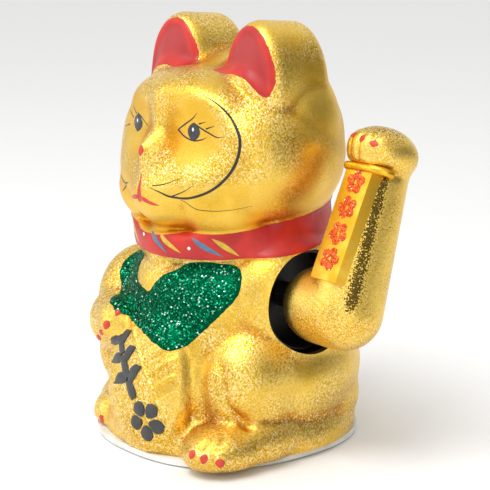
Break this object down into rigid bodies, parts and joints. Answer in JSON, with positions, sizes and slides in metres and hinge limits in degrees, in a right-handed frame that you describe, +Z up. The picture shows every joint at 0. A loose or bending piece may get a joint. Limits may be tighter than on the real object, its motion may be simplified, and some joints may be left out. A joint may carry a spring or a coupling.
{
  "type": "beckoning cat figurine",
  "caption": "Seated gold beckoning cat with a collar, bib, coin tablet and a battery-driven raised arm that swings to and fro on a flat base.",
  "frame": {"origin": "centre of the base, on the surface that the pads stand on", "axes": "+Z up; the cat faces -Y; its raised left arm is on +X"},
  "size_m": [0.1984, 0.161, 0.2515],
  "materials": {
    "gold_plating": "metallic gold plating with a fine sandy grain over glazed ceramic",
    "arm_gold": "gold metallised plastic with a fine grain",
    "plaque_gold": "gold lacquered plastic",
    "black_plastic": "moulded black plastic",
    "white_plastic": "moulded white plastic",
    "grey_plastic": "moulded grey plastic",
    "rubber": "soft black rubber",
    "steel": "plated steel",
    "brass": "turned brass",
    "copper_wire": "enamelled copper",
    "board_green": "glass-fibre board with green lacquer",
    "cell_sleeve": "printed sleeve on a steel can",
    "red_sleeve": "red wire sleeve",
    "black_sleeve": "black wire sleeve"
  },
  "bodies": {
    "figure": {"base_plate": "white_plastic", "battery_1": "cell_sleeve", "battery_2": "cell_sleeve", "battery_box": "white_plastic", "bearing_inner": "brass", "bearing_outer": "brass", "board_screw_1": "steel", "board_screw_2": "steel", "body_shell": "gold_plating", "capacitor": "black_plastic", "circuit_board": "board_green", "coil_bobbin": "black_plastic", "contact_plate_1": "steel", "contact_plate_2": "steel", "contact_spring_1": "steel", "contact_spring_2": "steel", "drive_coil": "copper_wire", "driver_chip": "black_plastic", "frame_screw_1": "steel", "frame_screw_2": "steel", "frame_screw_3": "steel", "frame_screw_4": "steel", "movement_frame": "white_plastic", "pad_1": "rubber", "pad_2": "rubber", "pad_3": "rubber", "pad_4": "rubber", "socket_cup": "black_plastic", "switch_body": "black_plastic", "wire_battery_black": "black_sleeve", "wire_battery_red": "red_sleeve", "wire_coil": "copper_wire", "wire_switch": "red_sleeve"},
    "arm": {"arm_axle": "steel", "arm_hub": "black_plastic", "arm_plaque": "plaque_gold", "arm_shell": "arm_gold", "axle_clip": "steel", "counterweight": "steel", "pendulum_magnet": "steel", "swing_lever": "grey_plastic"},
    "door": {"battery_door": "white_plastic"},
    "knob": {"switch_knob": "black_plastic"}
  },
  "joints": [
    {"name": "arm_swing", "type": "hinge", "parent": "figure", "child": "arm", "pos_m": [0.066, 0.0055, 0.092], "axis": [1, 0, 0], "range_deg": [-18, 18]},
    {"name": "battery_door_hinge", "type": "hinge", "parent": "figure", "child": "door", "pos_m": [0, 0.0524, 0.0024], "axis": [1, 0, 0], "range_deg": [0, 95]},
    {"name": "power_switch", "type": "slide", "parent": "figure", "child": "knob", "axis": [1, 0, 0], "range_m": [0, 0.003]}
  ]
}
